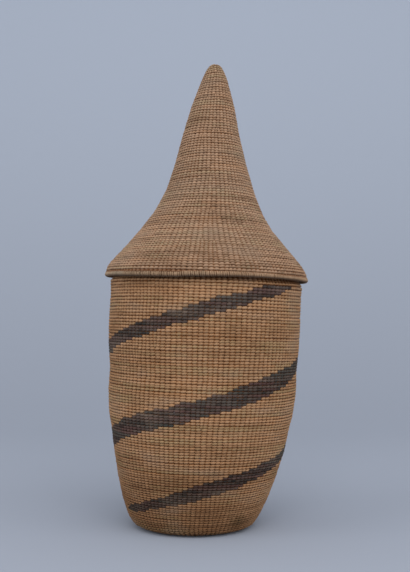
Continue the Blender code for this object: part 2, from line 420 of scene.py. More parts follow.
def warp_turns(counts, rng):
    """Where each warp stands in each row, as a fraction of a turn: rows down, warps across, and nan
    before a warp begins. A new warp goes into the widest space, and row by row each warp moves part of the
    way to the middle of its neighbours. The first one keeps its place."""
    grid = np.full((len(counts), counts[-1]), np.nan)
    places = np.arange(counts[0]) / counts[0]
    names = np.arange(counts[0])
    for row, count in enumerate(counts):
        while len(places) < count:
            spaces = np.diff(np.append(places, 1.0))
            widest = int(np.argmax(spaces * rng.uniform(LEAST_CHOICE, 1.0, len(spaces))))
            places = np.insert(places, widest + 1, places[widest] + spaces[widest] / 2)
            names = np.insert(names, widest + 1, len(names))
        grid[row, names] = places
        before = np.append(places[-1] - 1.0, places[:-1])
        after = np.append(places[1:], places[0] + 1.0)
        places = places + WARP_EVENING * (before + after - 2 * places)
        places[0] = 0.0
    wander = rng.standard_normal(grid.shape)
    for _ in range(3):
        wander[1:] = (wander[1:] + wander[:-1]) / 2
    wander[:, 0] = 0.0
    return grid + wander * WARP_WANDER / counts[:, None]


class Weave:
    """The warps of a sheet in every row, and the order in which the weft meets them."""

    def __init__(self, spiral, warps, seam, seed, from_top=False):
        self.spiral = spiral
        self.sheet = spiral.sheet
        # The seam table gives the painted shade beside a rim
        self.seam = table(seam)
        self.rng = np.random.default_rng(seed)
        rows = np.arange(spiral.rows)
        if from_top:
            rows = rows[::-1]
        radii = self.sheet.radius_at(spiral.run_at(rows + 0.5))
        counts = np.rint(np.interp(radii, *table(warps))).astype(int)
        grid = warp_turns(np.maximum.accumulate(counts), self.rng)
        self.grid = grid[::-1] if from_top else grid
        turns = np.sort(self.grid, axis=1) + np.arange(spiral.rows)[:, None]
        self.meets = turns[~np.isnan(turns)]
        self.rows = self.row_of(self.meets)
        self.waves = self.rng.uniform(0, TURN, (3, 2))
        self.beats = self.rng.standard_normal(spiral.rows * BEATS_PER_TURN + 1)

    def row_of(self, turns):
        return np.floor(turns + HAIR).astype(int)

    def angle_at(self, turns):
        """Angle from the front: every row begins at the back."""
        return TURN * (turns + 0.5)

    def waves_at(self, turns, counts, climb, phase):
        """Sum of sines round the ring, with as many waves each as counts says and a size of one over that,
        which turn on by a radian in each climb. Phase says which of the drawn starts they have."""
        angle, run = self.angle_at(turns), self.spiral.run_at(turns)
        return sum(
            np.sin(count * angle + run / climb + starts[phase]) / count
            for count, starts in zip(counts, self.waves)
        )

    def run_at(self, turns):
        """The spiral's run, which wanders up and down a little, as rows beaten down by hand do: the rows
        together in long waves, and each by itself from one beat to the next."""
        run = self.spiral.run_at(turns)
        wander = WANDER * self.waves_at(turns, WANDER_WAVES, WANDER_CLIMB, 0)
        beat = np.interp(turns * BEATS_PER_TURN, np.arange(len(self.beats)), self.beats)
        fade = np.clip(np.minimum(run, self.sheet.run[-1] - run) / WANDER_FADE, 0.0, 1.0)
        return run + (wander + BEAT_SIZE * beat) * fade

    def swell(self, turns):
        """How far the sheet bulges in and out of its even shape, from nothing at its foot."""
        bulge = SWELL * self.waves_at(turns, SWELL_WAVES, SWELL_CLIMB, 1)
        above = self.sheet.height_at(self.spiral.run_at(turns)) - self.sheet.height.min()
        return bulge * np.clip(above / SWELL_FADE, 0.0, 1.0)

    def spacing_at(self, turns):
        """Mean space from warp to warp in a row."""
        row = np.clip(self.row_of(turns), 0, len(self.grid) - 1)
        return TURN * self.sheet.radius_at(self.run_at(turns)) / (~np.isnan(self.grid)).sum(axis=1)[row]

    def swing(self, turns, look):
        """Share of its full depth that the weave has where its warps stand close, and how far it then
        moves out, so that the sheet's outer face stays where it is."""
        share = np.clip(self.spacing_at(turns) / FULL_SPACING, LEAST_SWING, 1.0)
        return share, (1 - share) * half_thickness(look)


def link_object(name, data):
    """Puts a new object with its data into the scene, at the origin, in the place of an earlier one."""
    old = bpy.data.objects.get(name)
    if old:
        bpy.data.objects.remove(old)
    item = bpy.data.objects.new(name, data)
    bpy.context.scene.collection.objects.link(item)
    return item


def bake_cells(count, sides, caps):
    """Lower corner and size of a cell of the unit square for every face of a tube piece: each row of cells
    holds one side of a run of rings, so that neighbours lie side by side, and the caps follow."""
    wide = max(1, int(math.sqrt(count * sides)))
    strips = -(-count // wide)
    cap_rows = -(-caps // wide)
    high = strips * sides + cap_rows
    link = np.arange(count)
    column = np.repeat(link % wide, sides)
    row = (link // wide * sides)[:, None] + np.arange(sides)
    cap = np.arange(caps)
    column = np.concatenate((column, cap % wide))
    row = np.concatenate((row.ravel(), strips * sides + cap // wide))
    return np.stack((column / wide, row / high), axis=1), np.array((1 / wide, 1 / high))


def tube_mesh(name, rings, links, firsts, lasts, along, marks):
    """Mesh of closed tubes. Rings of points are joined two by two, as links says, with a four-sided face
    for each side, and the rings in firsts and lasts are closed with a flat cap. Faces point outwards where
    a ring's points run anticlockwise, seen from the way that the tube goes. The map "strand" holds the
    length along the tube in metres and the share of the way round it, and marks holds a value per ring."""
    used, links = np.unique(links, return_inverse=True)
    links = links.reshape(-1, 2)
    place = np.full(len(rings), -1)
    place[used] = np.arange(len(used))
    firsts, lasts = place[firsts], place[lasts]
    sides = rings.shape[1]
    side = np.arange(sides)
    after = (side + 1) % sides
    start, end = links[:, :1] * sides, links[:, 1:] * sides
    quads = np.stack((start + side, start + after, end + after, end + side), axis=2)
    caps = np.concatenate((firsts[:, None] * sides + side[::-1], lasts[:, None] * sides + side))
    corners = np.concatenate((quads.ravel(), caps.ravel()))
    quad_count, cap_count = len(links) * sides, len(caps)
    starts = np.concatenate((np.arange(quad_count) * 4, quad_count * 4 + np.arange(cap_count) * sides))

    mesh = bpy.data.meshes.new(name)
    mesh.vertices.add(len(used) * sides)
    mesh.vertices.foreach_set("co", rings[used].astype(np.float32).ravel())
    mesh.loops.add(len(corners))
    mesh.loops.foreach_set("vertex_index", corners.astype(np.int32))
    mesh.polygons.add(quad_count + cap_count)
    mesh.polygons.foreach_set("loop_start", starts.astype(np.int32))
    mesh.update(calc_edges=True)
    smooth = np.arange(quad_count + cap_count) < quad_count
    mesh.polygons.foreach_set("use_smooth", smooth)

    ends = np.broadcast_to(along[:, None, [0, 0, 1, 1]], (len(links), sides, 4))
    rounds = np.stack((side, side + 1, side + 1, side), axis=1) / sides
    strand = np.stack((ends, np.broadcast_to(rounds, ends.shape)), axis=3).reshape(-1, 2)
    circle = 0.5 + 0.5 * np.stack((np.cos(side * TURN / sides), np.sin(side * TURN / sides)), axis=1)
    strand = np.concatenate((strand, np.tile(circle, (cap_count, 1))))
    cells, size = bake_cells(len(links), sides, cap_count)
    square = np.array(((0, 0), (0, 1), (1, 1), (1, 0))) * size
    bake = (cells[:quad_count, None] + square).reshape(-1, 2)
    bake = np.concatenate((bake, (cells[quad_count:, None] + circle * size).reshape(-1, 2)))
    for layer_name, values in (("strand", strand), ("OFBake", bake)):
        layer = mesh.uv_layers.new(name=layer_name)
        layer.uv.foreach_set("vector", values.astype(np.float32).ravel())
    mesh.uv_layers.active_index = 0
    mesh.uv_layers["strand"].active_render = True
    for mark, values in marks.items():
        data = mesh.attributes.new(mark, "FLOAT", "POINT").data
        data.foreach_set("value", np.repeat(values[used], sides).astype(np.float32))
    return mesh


def ring_round(centres, out, side, thick, wide, sides, start=0.0):
    """Rings of points round the centres of a path: an ellipse, thick along out and wide along side."""
    turn = start + np.arange(sides) * TURN / sides
    thick = np.broadcast_to(thick, centres.shape[:-1])[..., None, None] / 2
    wide = np.broadcast_to(wide, centres.shape[:-1])[..., None, None] / 2
    cosines, sines = np.cos(turn)[:, None], np.sin(turn)[:, None]
    return centres[..., None, :] + out[..., None, :] * thick * cosines + side[..., None, :] * wide * sines


def half_thickness(look):
    """From the middle of a woven sheet to its outer face."""
    return look.weft_reach + look.weft_thickness / 2


def square_to(vectors, ahead):
    """What the vectors have at right angles to the way ahead, at length 1."""
    return unit(vectors - ahead * (vectors * ahead).sum(axis=1, keepdims=True))


def drift(rng, places, count, closed=False):
    """A value drawn from the bell curve for each whole place up to the count, in straight lines between.
    That of a closed strand comes back to where it began."""
    values = rng.normal(0.0, 1.0, count if closed else count + 1)
    return np.interp(places, np.arange(count + 1), np.resize(values, count + 1))


def tone_of_fibres(rng, count, shortest, longest):
    """A value for each stitch of a strand: each length of fibre has its own, and changes at a join."""
    lengths = rng.integers(shortest, longest, 2 * count // (shortest + longest) + 9)
    while lengths.sum() < count:
        lengths = np.append(lengths, lengths)
    return np.repeat(rng.uniform(0, 1, len(lengths)), lengths)[:count]


def stitch_mark(rng, row, fibres, shares):
    """A mark for each stitch: shares of its row's mark, of one for its strand's fibres and of its own."""
    of_row, of_strand, of_stitch = shares
    strand = tone_of_fibres(rng, len(row), *fibres)
    return of_row * row + of_strand * strand + of_stitch * rng.uniform(0, 1, len(row))


def marks_of(count, tone, warmth, depth):
    """The three marks that the material reads, each given as one value or as a value for each ring."""
    marks = {"tone": tone, "warmth": warmth, "depth": depth}
    return {mark: np.broadcast_to(values, count) for mark, values in marks.items()}


def weft_strands(weave, look):
    """Both wefts of a weave. Each goes out over one warp and in behind the next: with a phase of 1 for each
    warp, a strand is moved out of the sheet by a power of the sine of half a circle per phase, plus a lift
    where the two cross. It climbs from the foot of the row to its top over a warp and falls back behind the
    next, by a straight share and a cubed share, which is steep only where the strands cross. The two are
    one phase apart. So the outer stitches slant up to the right. A strand is narrowest where the two cross
    and widens over a warp by the sine of half a circle per phase, so the holes lie between the warps."""
    rng, meets = weave.rng, weave.meets
    count = len(meets)
    gaps = np.diff(meets)
    crossings = np.concatenate(([meets[0] - gaps[0] / 2], meets[1:] - gaps / 2, [meets[-1] + gaps[-1] / 2]))
    knots = np.stack((crossings[:-1], meets), axis=1).ravel()
    knots = np.append(knots, crossings[-1])
    phase = np.append((np.arange(count)[:, None] + STITCH_PHASES).ravel(), count)
    turns = np.interp(phase, np.arange(len(knots)) / 2, knots)
    angle, run = weave.angle_at(turns), weave.run_at(turns)
    pitch = weave.spiral.pitch_at(turns)
    _, up, out = weave.sheet.axes(angle, run)
    middle = weave.sheet.point(angle, run)
    share, moved_out = weave.swing(turns, look)
    moved_out = moved_out + weave.swell(turns)
    crossing = CROSSING_LIFT * np.cos(math.pi * phase) ** 2
    spread = 1 + look.weft_spread * np.abs(np.sin(math.pi * phase))

    # Painted shade in the seam beside a rim: it lowers the depth mark, so the strand turns to its shade
    # colour
    painted_seam_shade = np.interp(weave.sheet.height_at(run), *weave.seam)
    stitch = np.minimum(np.arange(len(phase)) // STEPS_PER_WARP, count - 1)
    row_tone, row_warmth = (tone_of_fibres(rng, count, *fibres) for fibres in ROW_FIBRES)

    rings, tones, warmths, depths, lengths = [], [], [], [], []
    for strand in (0, 1):
        loose, shift, bulk = (drift(rng, phase, count) for _ in range(3))
        swing = (phase + strand) % 2
        wave = np.sin(math.pi * swing)
        wave = np.sign(wave) * np.abs(wave) ** SWING_POWER
        depth = share * (wave * look.weft_reach * (1 + UNEVEN_SWING * loose) + crossing)
        slope = np.where(swing < 1, 2 * swing - 1, 3 - 2 * swing)
        climb = pitch * look.weft_slant * (SLOPE_OVER_WARP * slope + (1 - SLOPE_OVER_WARP) * slope ** 3)
        climb = climb + shift * UNEVEN_CLIMB
        centres = middle + out * (depth + moved_out)[:, None] + up * climb[:, None]
        ahead = unit(np.gradient(centres, axis=0))
        side = square_to(up, ahead)
        wide = pitch * look.weft_width * spread * (1 + UNEVEN_HEIGHT * bulk)
        thick = look.weft_thickness * share * (1 - UNEVEN_THICKNESS * bulk)
        ring = ring_round(centres, np.cross(side, ahead), side, thick, wide, WEFT_SIDES, math.pi)
        ring[..., 2] = np.maximum(ring[..., 2], FLOOR_GAP)
        rings.append(ring)
        tones.append(stitch_mark(rng, row_tone, STRAND_FIBRES[0], TONE_SHARES)[stitch])
        warmths.append(stitch_mark(rng, row_warmth, STRAND_FIBRES[1], WARMTH_SHARES)[stitch])
        depths.append(depth / look.weft_reach - painted_seam_shade)
        lengths.append(lengths_along(centres))
    marks = (np.concatenate(values) for values in (tones, warmths, depths))
    return {
        "rings": np.concatenate(rings), "samples": len(phase), "count": count, "along": np.stack(lengths),
        "marks": marks_of(2 * len(phase), *marks),
    }


def weft_piece(name, strands, chosen):
    """Mesh of the chosen stitches of each strand, capped wherever they are cut off from the rest."""
    steps = np.arange(STEPS_PER_WARP)
    links, along, all_firsts, all_lasts = [], [], [], []
    for strand in (0, 1):
        here = np.append(chosen[strand], False)
        before = np.append(False, chosen[strand])
        segments = (np.flatnonzero(here)[:, None] * STEPS_PER_WARP + steps).ravel()
        base = strand * strands["samples"]
        links.append(base + np.stack((segments, segments + 1), axis=1))
        lengths = strands["along"][strand]
        along.append(np.stack((lengths[segments], lengths[segments + 1]), axis=1))
        all_firsts.append(base + np.flatnonzero(here & ~before) * STEPS_PER_WARP)
        all_lasts.append(base + np.flatnonzero(before & ~here) * STEPS_PER_WARP)
    return tube_mesh(
        name, strands["rings"], np.concatenate(links), np.concatenate(all_firsts), np.concatenate(all_lasts),
        np.concatenate(along), strands["marks"],
    )


def warp_mesh(name, weave, look, stripes=()):
    """Mesh of the warp sticks: a tube for each, with a ring where every row crosses it. Behind the stripes
    that start at the angles given they are dark, with painted shade."""
    grid = weave.grid
    here = ~np.isnan(grid)
    row, warp = np.nonzero(here)
    turns = row + grid[row, warp]
    angle, run = weave.angle_at(turns), weave.run_at(turns)
    around, _, out = weave.sheet.axes(angle, run)
    share, moved_out = weave.swing(turns, look)
    centres = weave.sheet.point(angle, run) + out * (weave.swell(turns) + moved_out)[:, None]
    thick, wide = look.warp_thickness * share * CORNER, look.warp_width * weave.spacing_at(turns) * CORNER
    rings = ring_round(centres, out, around, thick, wide, WARP_SIDES, TURN / 8)
    number = np.full(grid.shape, -1)
    number[row, warp] = np.arange(len(row))
    paired = (number[:-1] >= 0) & (number[1:] >= 0)
    links = np.stack((number[:-1][paired], number[1:][paired]), axis=1)
    no_row = np.zeros((1, grid.shape[1]), bool)
    before, after = np.vstack((no_row, here[:-1])), np.vstack((here[1:], no_row))
    joined_on = number[here & after & ~before]
    ended = number[here & before & ~after]
    tone = weave.rng.uniform(0, 1, grid.shape[1])[warp]
    # Behind the stripes the warps take the dyed shade colour: painted shade in the gaps between dyed rows
    dark = np.zeros(len(row), bool)
    for start in stripes:
        dark |= in_stripe(weave, turns, row, start, 0)
    marks = marks_of(len(row), tone=tone, warmth=np.where(dark, 1.0, 0.5), depth=1.0)
    return tube_mesh(name, rings, links, joined_on, ended, run[links], marks)


def coil_section(rim, angle):
    """Radius of the coil and how far its middle is lifted, at an angle, by straight lines through the
    stations of its course."""
    degrees = np.degrees((angle + math.pi) % TURN - math.pi)
    station, thinner, lift = np.array(rim["course"], float).T
    return rim["coil"] * (1 - np.interp(degrees, station, thinner)), MM * np.interp(degrees, station, lift)


def closed_tube(name, rings, centres, marks):
    """Mesh of a tube that runs back into its own start."""
    number = np.arange(len(centres))
    links = np.stack((number, np.roll(number, -1)), axis=1)
    lengths = lengths_along(np.vstack((centres, centres[:1])))
    none = np.zeros(0, int)
    return tube_mesh(name, rings, links, none, none, np.stack((lengths[:-1], lengths[1:]), axis=1), marks)


def binding_mesh(name, rim, posture, look, seed):
    """Mesh of the strand overcast round a rim: a closed helix round the rim's ring, whose wraps lie
    side by side and vary a little in height and place."""
    rng = np.random.default_rng(seed)
    wraps = rim["wraps"]
    share = np.arange(wraps * WRAP_STEPS) / WRAP_STEPS
    loose, shift = (drift(rng, share, wraps, closed=True) for _ in range(2))
    angle = TURN * (share + UNEVEN_WRAPS * shift) / wraps
    coil, lift = coil_section(rim, angle)
    thick = look.wrap_thickness
    reach = coil * (1 + UNEVEN_COIL * loose) - thick / 2
    round_coil = -TURN * share
    radius = rim["radius"] + reach * np.cos(round_coil)
    rise = lift + reach * np.sin(round_coil)
    centres = posture.place(angle, radius, rim["height"], rise)
    middle = posture.place(angle, rim["radius"], rim["height"], lift)
    ahead = unit(np.roll(centres, -1, axis=0) - np.roll(centres, 1, axis=0))
    face = square_to(centres - middle, ahead)
    wide = TURN * rim["radius"] / wraps * look.wrap_width
    rings = ring_round(centres, face, np.cross(ahead, face), thick, wide, WEFT_SIDES)
    wrap = share.astype(int)
    tone = 0.5 * tone_of_fibres(rng, wraps, *RIM_FIBRES[0]) + 0.5 * rng.uniform(0, 1, wraps)
    warmth = tone_of_fibres(rng, wraps, *RIM_FIBRES[1])
    # The underside of the coil turns to the rim's shade colour: painted shade
    depth = np.interp(np.sin(round_coil), RIM_HEIGHTS, RIM_DEPTHS)
    return closed_tube(name, rings, centres, marks_of(len(share), tone[wrap], warmth[wrap], depth))


def core_mesh(name, rim, posture):
    """Mesh of a rim's core: a plain closed ring, a circle carried round the rim's own circle."""
    angle = np.arange(CORE_STEPS) * TURN / CORE_STEPS
    coil, lift = coil_section(rim, angle)
    middle = posture.place(angle, rim["radius"], rim["height"], lift)
    out = unit(posture.place(angle, rim["radius"] + MM, rim["height"], lift) - middle)
    up = unit(posture.place(angle, rim["radius"], rim["height"], lift + MM) - middle)
    size = 2 * rim["core"] * coil / rim["coil"]
    rings = ring_round(middle, up, out, size, size, CORE_SIDES)
    # A depth mark of 0 mixes the core about half way to the sticks' deep colour: painted shade inside the
    # coil
    return closed_tube(name, rings, middle, marks_of(CORE_STEPS, tone=0.4, warmth=0.5, depth=0.0))


def sticks_mesh(name, paths, thick, wide, seed):
    """Mesh of loose sticks: a tube along each path, capped at both ends. Paths are (stick, point, xyz) and
    run about level, and wide is one width or one for each point."""
    rng = np.random.default_rng(seed)
    sticks, points = paths.shape[:2]
    ahead = unit(np.gradient(paths, axis=1))
    side = unit(np.cross(ahead, (0.0, 0.0, 1.0)))
    face = np.cross(side, ahead)
    rings = ring_round(paths, face, side, thick, wide, STICK_SIDES).reshape(-1, STICK_SIDES, 3)
    number = np.arange(sticks * points).reshape(sticks, points)
    links = np.stack((number[:, :-1], number[:, 1:]), axis=2).reshape(-1, 2)
    along = np.concatenate([lengths_along(path) for path in paths])
    tone = np.repeat(rng.uniform(0, 1, sticks), points)
    marks = marks_of(sticks * points, tone=tone, warmth=0.1, depth=0.8)
    return tube_mesh(name, rings, links, number[:, 0], number[:, -1], along[links], marks)


def base_start_paths():
    """Two layers of sticks that cross in the middle of the base. Each stick runs from one warp's place on
    the first row to the one across, and moves in to its place in the bundle by a smooth step. Its height
    turns from its layer's to the warps' by the fourth power of the way out."""
    across = np.arange(START_STICKS) - (START_STICKS - 1) / 2
    fan = across * TURN / (4 * START_STICKS)
    t = np.linspace(-1, 1, STICK_POINTS)
    ease = np.abs(t) ** 2 * (3 - 2 * np.abs(t))
    side = across[:, None] * START_SPACING * (1 - ease) + START_REACH * np.sin(fan)[:, None] * ease
    run = START_REACH * np.cos(fan)[:, None] * t
    low = np.stack((run, side, np.full(run.shape, START_HEIGHTS[0])), axis=2)
    high = np.stack((-side, run, np.full(run.shape, START_HEIGHTS[1])), axis=2)
    paths = np.concatenate((low, high))
    paths[:, :, 2] += (START_MIDDLE - paths[:, :, 2]) * np.abs(t) ** 4
    return paths


def tip_paths(posture):
    """Warps bent over the top of the lid: arcs through the middle of the tip, each turned on from the
    last and lying a little higher, which fall by a power of the way out."""
    turn = np.arange(TIP_STICKS)[:, None] * TURN / (2 * TIP_STICKS)
    t = np.linspace(-1, 1, STICK_POINTS)
    layer = np.arange(TIP_STICKS)[:, None] * TIP_LAYER
    fall = TIP_FALL * np.abs(t) ** TIP_FALL_POWER
    angle = np.where(t < 0, turn + TURN / 2, turn)
    radius = np.abs(t) * TIP_REACH + TIP_CLEAR
    return posture.place(angle, radius, TIP_TOP, layer - TIP_STICKS * TIP_LAYER - fall)


def in_stripe(weave, turns, rows, start, strand):
    """Which places of a strand, given by their turns and rows, are inside the band that climbs round the
    wall from the start angle. The ends of each row's dyed stretch are moved a little at random, and one of
    the strands ends sooner, so the edges fade out in places where only every other stitch is dark."""
    degrees = np.degrees(weave.angle_at(turns)) - start
    height = weave.sheet.height_at(weave.run_at(turns))
    rng = np.random.default_rng(SEED)
    ragged = rng.uniform(-1, 1, (rows.max() + 1, 2)) * STRIPE_RAGGED
    ragged += np.where(rng.integers(0, 2, ragged.shape) == strand, STRIPE_FADE, -STRIPE_FADE)
    rise, width = table(STRIPE_RISE, MM, 1), table(STRIPE_WIDTH, MM, 1)
    inside = np.zeros(len(degrees), bool)
    for lap in (0, 360):
        turn = degrees % 360 + lap
        top_turn, low_turn = turn + ragged[rows, 0], turn + ragged[rows, 1]
        top = np.interp(top_turn, *rise) + np.interp(top_turn, *width) / 2
        low = np.interp(low_turn, *rise) - np.interp(low_turn, *width) / 2
        inside |= (height > low) & (height < np.minimum(top, STRIPE_TOP)) & (turn < STRIPE_LAST_TURN)
    return inside


def basket_weave(look):
    """The weave of the base and wall, one spiral from the middle of the base to the neck."""
    sheet = Sheet(BASKET_OUTLINE, BASKET_POSTURE, 2 * half_thickness(look))
    return Weave(Spiral(sheet, BASKET_PITCH), BASKET_WARPS, BASKET_SEAM_SHADE, SEED)


def lid_weave(look):
    """The weave of the lid, one spiral whose warps begin at the tip."""
    sheet = Sheet(LID_OUTLINE, LID_POSTURE, 2 * half_thickness(look))
    return Weave(Spiral(sheet, LID_PITCH), LID_WARPS, LID_SEAM_SHADE, SEED + 1, from_top=True)


def piece_bands(chosen):
    """Splits the chosen stitches of both strands, in their order, into as few equal shares as keep under
    the limit."""
    triangles = 2 * STEPS_PER_WARP * WEFT_SIDES * 2
    places = np.flatnonzero(chosen.any(axis=0))
    shares = np.array_split(places, math.ceil(len(places) * triangles / PIECE_TRIANGLES))
    for share in shares:
        band = np.zeros(chosen.shape[1], bool)
        band[share] = True
        yield chosen & band


class Tree:
    """Short calls that make, set and join the nodes of a material or a node group."""

    def __init__(self, tree):
        self.tree = tree

    def add(self, kind, settings=None, **inputs):
        """Adds a node. Settings are its own values, and inputs are values or sockets by name or number."""
        node = self.tree.nodes.new(kind)
        for key, value in (settings or {}).items():
            setattr(node, key, value)
        self.join(node.inputs, **inputs)
        return node

    def join(self, sockets, **values):
        """Links each value to its socket, or sets it there: by name, where _ stands for a space, or by
        number, as in_0."""
        for key, value in values.items():
            socket = sockets[int(key[3:])] if key.startswith("in_") else sockets[key.replace("_", " ")]
            if isinstance(value, bpy.types.NodeSocket):
                self.tree.links.new(value, socket)
            else:
                socket.default_value = value

    def math(self, operation, first, second=0.0, third=0.0):
        settings = {"operation": operation}
        return self.add("ShaderNodeMath", settings, in_0=first, in_1=second, in_2=third).outputs[0]

    def vector(self, operation, first, second=(0.0, 0.0, 0.0)):
        return self.add("ShaderNodeVectorMath", {"operation": operation}, in_0=first, in_1=second).outputs

    def vary(self, noise, size, middle):
        """The middle value, moved up and down by a noise that has 0.5 as its own middle."""
        return self.math("MULTIPLY_ADD", self.math("SUBTRACT", noise, 0.5), size, middle)

    def scale_to(self, value, low, high, to_low, to_high):
        """The value moved smoothly from one range to another."""
        ranges = {"From_Min": low, "From_Max": high, "To_Min": to_low, "To_Max": to_high}
        settings = {"interpolation_type": "SMOOTHSTEP"}
        return self.add("ShaderNodeMapRange", settings, Value=value, **ranges).outputs["Result"]

    def mix(self, share, first, second, blend="MIX"):
        settings = {"data_type": "RGBA", "blend_type": blend}
        return self.add("ShaderNodeMix", settings, in_0=share, in_6=first, in_7=second).outputs[2]

    def noise(self, vector, scale, detail=2.0, roughness=0.5):
        inputs = {"Vector": vector, "Scale": scale, "Detail": detail, "Roughness": roughness}
        return self.add("ShaderNodeTexNoise", None, **inputs).outputs["Fac"]

    def matt(self, colour, roughness, sheen, **others):
        """The shader of a matt surface, and the material's output."""
        inputs = {"Base_Color": colour, "Roughness": roughness, "Specular_IOR_Level": sheen, **others}
        shader = self.add("ShaderNodeBsdfPrincipled", None, **inputs)
        self.add("ShaderNodeOutputMaterial", None, Surface=shader.outputs["BSDF"])

    def place(self):
        """Object coordinates, and the same as X, Y and Z."""
        place = self.add("ShaderNodeTexCoord").outputs["Object"]
        return place, self.add("ShaderNodeSeparateXYZ", None, Vector=place).outputs


def new_group(name, inputs, outputs):
    """Empty node group with named sockets, and its Tree, input sockets and output sockets."""
    old = bpy.data.node_groups.get(name)
    if old:
        bpy.data.node_groups.remove(old)
    group = bpy.data.node_groups.new(name, "ShaderNodeTree")
    for direction, sockets in (("INPUT", inputs), ("OUTPUT", outputs)):
        for socket_name, kind in sockets.items():
            group.interface.new_socket(socket_name, in_out=direction, socket_type="NodeSocket" + kind)
    tree = Tree(group)
    return group, tree, tree.add("NodeGroupInput").outputs, tree.add("NodeGroupOutput").inputs


def fibre_group():
    """Dry plant fibre along a strand: fine streaks that run with it, a tone and a warmth that change with
    each length of fibre, from cool to warm, and shade towards the inside of the sheet."""
    inputs = {
        "Strand": "Vector", "Tone": "Float", "Warmth": "Float", "Depth": "Float",
        "Pale": "Color", "Deep": "Color", "Warm": "Color", "Cool": "Color", "Shade": "Color",
    }
    outputs = {"Color": "Color", "Roughness": "Float", "Height": "Float"}
    group, tree, given, out = new_group("plant_fibre", inputs, outputs)
    strand = tree.add("ShaderNodeSeparateXYZ", None, Vector=given["Strand"]).outputs
    turn = tree.math("MULTIPLY", strand["Y"], TURN)
    around = tree.math("MULTIPLY", tree.math("COSINE", turn), STREAKS_AROUND)
    across = tree.math("MULTIPLY", tree.math("SINE", turn), STREAKS_AROUND)
    length = tree.math("MULTIPLY", strand["X"], STREAKS_ALONG)
    vector = tree.add("ShaderNodeCombineXYZ", None, X=length, Y=around, Z=across).outputs[0]
    streaks = tree.noise(vector, 1.0, 3.0, 0.62)
    length = tree.math("MULTIPLY", strand["X"], DRIFT_ALONG)
    drifts = tree.noise(tree.add("ShaderNodeCombineXYZ", None, X=length, Y=given["Tone"]).outputs[0], 1.0)
    level = tree.math("MULTIPLY_ADD", given["Tone"], TONE_SIZE, TONE_BASE)
    level = tree.vary(drifts, DRIFT_SIZE, tree.vary(streaks, STREAK_SIZE, level))
    colour = tree.mix(tree.scale_to(level, 0.0, 1.0, 0.0, 1.0), given["Deep"], given["Pale"])
    place = tree.add("ShaderNodeTexCoord").outputs["Object"]
    warmth = tree.vary(tree.noise(place, WARM_PATCHES), WARM_SIZE, given["Warmth"])
    colour = tree.mix(tree.scale_to(warmth, 0.55, 1.0, 0.0, 0.6), colour, given["Warm"])
    colour = tree.mix(tree.scale_to(warmth, 0.45, 0.0, 0.0, 0.6), colour, given["Cool"])
    shaded = tree.scale_to(given["Depth"], -0.5, 0.7, 0.85, 0.0)
    colour = tree.mix(shaded, colour, given["Shade"])
    tree.join(out, Color=colour, Roughness=tree.scale_to(streaks, 0.3, 0.7, 0.70, 0.92), Height=streaks)
    return group


def handling_group():
    """Age, handling and painted shade by place on the object: soft patches of a darker and a greyer tone,
    drawn out along the rows, darkening towards the floor, partly grime and partly painted shade, which thins
    towards +X, and one damp mark."""
    inputs = {"Color": "Color", "Grime": "Color", "Dust": "Color", "Stain": "Color", "Grime Top": "Float"}
    group, tree, given, out = new_group("age_and_handling", inputs, {"Color": "Color"})
    place, apart = tree.place()
    patches = tree.noise(tree.vector("MULTIPLY", place, PATCH_FLATTENED)[0], PATCH_SCALE, 4.0, 0.6)
    fine = tree.noise(place, FINE_SCALE, 3.0, 0.6)
    # Darker towards the floor, partly as grime and partly as painted shade, with a ragged top
    height = tree.math("DIVIDE", tree.vary(fine, DARKENING_RAGGED, apart["Z"]), given["Grime Top"])
    near_floor = tree.scale_to(height, 0.0, 1.0, 0.9, 0.0)
    near_floor = tree.math("MULTIPLY", near_floor, tree.scale_to(apart["X"], *DARKENING_THINS, 1.0, 0.4))
    colour = tree.mix(near_floor, given["Color"], given["Grime"], "MULTIPLY")
    colour = tree.mix(tree.scale_to(patches, 0.48, 0.68, 0.0, 0.4), colour, given["Grime"], "MULTIPLY")
    colour = tree.mix(tree.scale_to(patches, 0.5, 0.3, 0.0, 0.35), colour, given["Dust"])
    away = tree.vector("MULTIPLY", tree.vector("SUBTRACT", place, STAIN_PLACE)[0], STAIN_FLATTENED)[0]
    away = tree.vary(fine, STAIN_RADIUS, tree.vector("LENGTH", away)["Value"])
    stained = tree.scale_to(away, 0.0, STAIN_RADIUS, STAIN_STRENGTH, 0.0)
    tree.join(out, Color=tree.mix(stained, colour, given["Stain"], "MULTIPLY"))
    return group


def linear(colour):
    """Colour given as screen values, as the light values that a shader takes, by the sRGB curve."""
    levels = np.array(colour[:3])
    bent = np.where(levels <= 0.04045, levels / 12.92, ((levels + 0.055) / 1.055) ** 2.4)
    return (*bent, 1.0)


def new_material(name):
    """Empty material in the place of an earlier one of its name, and its Tree."""
    old = bpy.data.materials.get(name)
    if old:
        bpy.data.materials.remove(old)
    material = bpy.data.materials.new(name)
    material.use_nodes = True
    material.node_tree.nodes.clear()
    return material, Tree(material.node_tree)


